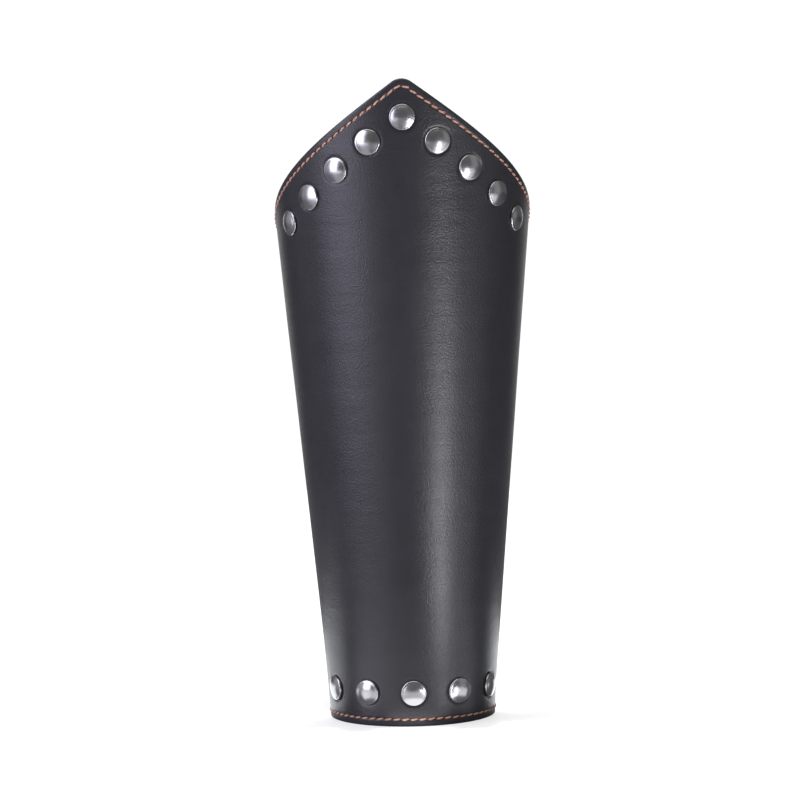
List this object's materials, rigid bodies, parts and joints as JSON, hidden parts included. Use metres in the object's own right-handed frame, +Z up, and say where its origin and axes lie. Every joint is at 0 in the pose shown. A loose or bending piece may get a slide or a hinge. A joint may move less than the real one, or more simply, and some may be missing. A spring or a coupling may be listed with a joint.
{
  "type": "arm bracer",
  "caption": "Leather forearm bracer with a raised point at the front, domed rivets along its top edges and wrist, and an open back with lacing eyelets.",
  "frame": {"origin": "on the surface that the wrist rim stands on, under the middle of the bracer's bounding box", "axes": "+Z up along the forearm, from the wrist rim to the raised point; the front, with the point and the rivets, faces -Y; the lacing gap faces +Y; +X is to the right as seen from the front"},
  "size_m": [0.0994, 0.0978, 0.2451],
  "materials": {
    "black_leather": "smooth semi-gloss",
    "rivet_metal": "polished nickel plate",
    "eyelet_metal": "plain nickel plate"
  },
  "bodies": {
    "root": {"leather_panel": "black_leather", "rivet_top_centre": "rivet_metal", "rivet_top_left_1": "rivet_metal", "rivet_top_left_2": "rivet_metal", "rivet_top_left_3": "rivet_metal", "rivet_top_left_4": "rivet_metal", "rivet_top_right_1": "rivet_metal", "rivet_top_right_2": "rivet_metal", "rivet_top_right_3": "rivet_metal", "rivet_top_right_4": "rivet_metal", "rivet_wrist_centre": "rivet_metal", "rivet_wrist_left_1": "rivet_metal", "rivet_wrist_left_2": "rivet_metal", "rivet_wrist_right_1": "rivet_metal", "rivet_wrist_right_2": "rivet_metal", "eyelet_left_1": "eyelet_metal", "eyelet_left_2": "eyelet_metal", "eyelet_left_3": "eyelet_metal", "eyelet_left_4": "eyelet_metal", "eyelet_left_5": "eyelet_metal", "eyelet_left_6": "eyelet_metal", "eyelet_right_1": "eyelet_metal", "eyelet_right_2": "eyelet_metal", "eyelet_right_3": "eyelet_metal", "eyelet_right_4": "eyelet_metal", "eyelet_right_5": "eyelet_metal", "eyelet_right_6": "eyelet_metal"}
  },
  "joints": []
}
